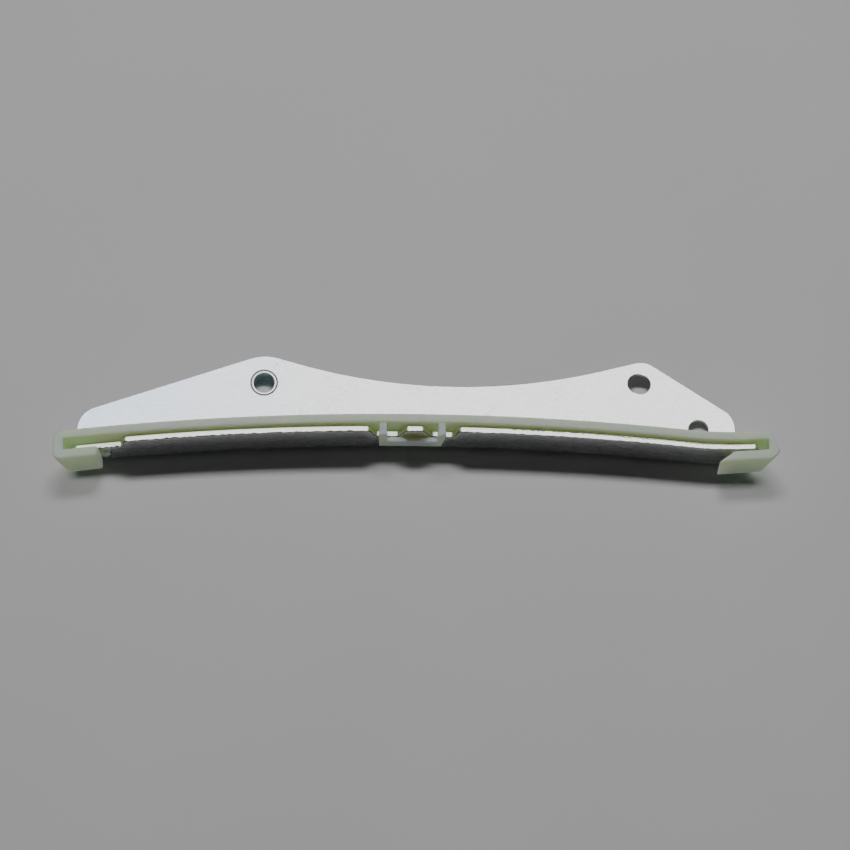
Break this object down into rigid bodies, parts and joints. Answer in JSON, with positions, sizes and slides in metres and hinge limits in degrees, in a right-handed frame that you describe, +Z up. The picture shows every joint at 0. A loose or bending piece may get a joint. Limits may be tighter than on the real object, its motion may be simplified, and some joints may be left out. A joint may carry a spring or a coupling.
{
  "type": "timing chain guide",
  "caption": "Bowed guide that a timing chain runs along: a nylon shoe clipped to a folded steel bracket with holes and a locating collar for bolting it to an engine.",
  "frame": {"origin": "middle of the object's box, on the surface that it rests on", "axes": "+X along the bow, from the lowered tab to the curled end; +Y across the web, away from the flange; +Z up from the floor, 8.5 degrees from the web's normal"},
  "size_m": [0.2284, 0.044, 0.0203],
  "materials": {
    "zinc_plated_steel": "bright zinc plate over stamped sheet, faintly mottled, with rounded sheared edges",
    "natural_nylon": "moulded unpigmented nylon, pale grey-green, slightly translucent, satin",
    "turned_steel": "turned steel sleeve, fine turning marks"
  },
  "bodies": {
    "root": {"steel_bracket": "zinc_plated_steel", "nylon_shoe": "natural_nylon", "locating_collar": "turned_steel"}
  },
  "joints": []
}
